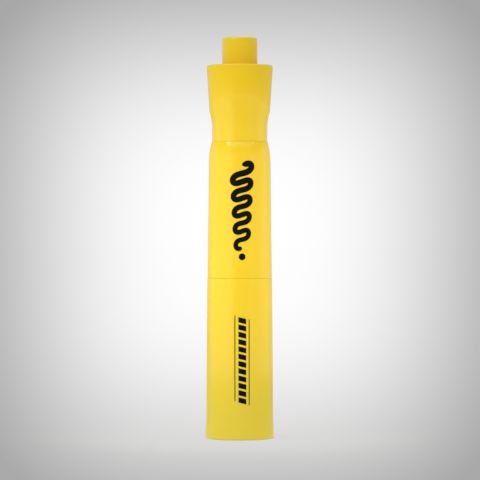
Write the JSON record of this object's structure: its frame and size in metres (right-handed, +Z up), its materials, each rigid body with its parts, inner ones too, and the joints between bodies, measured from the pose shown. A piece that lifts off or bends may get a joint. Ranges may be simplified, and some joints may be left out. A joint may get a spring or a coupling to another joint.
{
  "type": "highlighter",
  "caption": "Broad-barrelled chisel-nib highlighter standing upright on its closed cap, with a waisted, flared tail that ends in a round posting stud.",
  "frame": {"origin": "centre of the closed cap's flat end, on the surface that the highlighter stands on", "axes": "+Z up along the pen's axis, from the cap's closed end to the stud on the tail; -Y is the printed front; the nib's writing edge runs along X"},
  "size_m": [0.0214, 0.0214, 0.125],
  "materials": {
    "yellow_plastic": "satin yellow moulded plastic",
    "natural_plastic": "natural uncoloured moulded plastic",
    "felt": "bonded fibre soaked with yellow ink",
    "inked_fibre": "loose fibre bundle soaked with yellow ink",
    "clear_film": "thin clear film"
  },
  "bodies": {
    "cap": {"cap_shell": "yellow_plastic", "cap_inner_sleeve": "natural_plastic"},
    "pen": {"barrel": "yellow_plastic", "nose_section": "yellow_plastic", "nib": "felt", "reservoir_core": "inked_fibre", "reservoir_film": "clear_film", "breather_tube": "natural_plastic", "tail_neck": "yellow_plastic", "tail_plug": "yellow_plastic"}
  },
  "joints": [
    {"name": "pen_out_of_cap", "type": "slide", "parent": "cap", "child": "pen", "axis": [0, 0, 1], "range_m": [0, 0.045]}
  ]
}
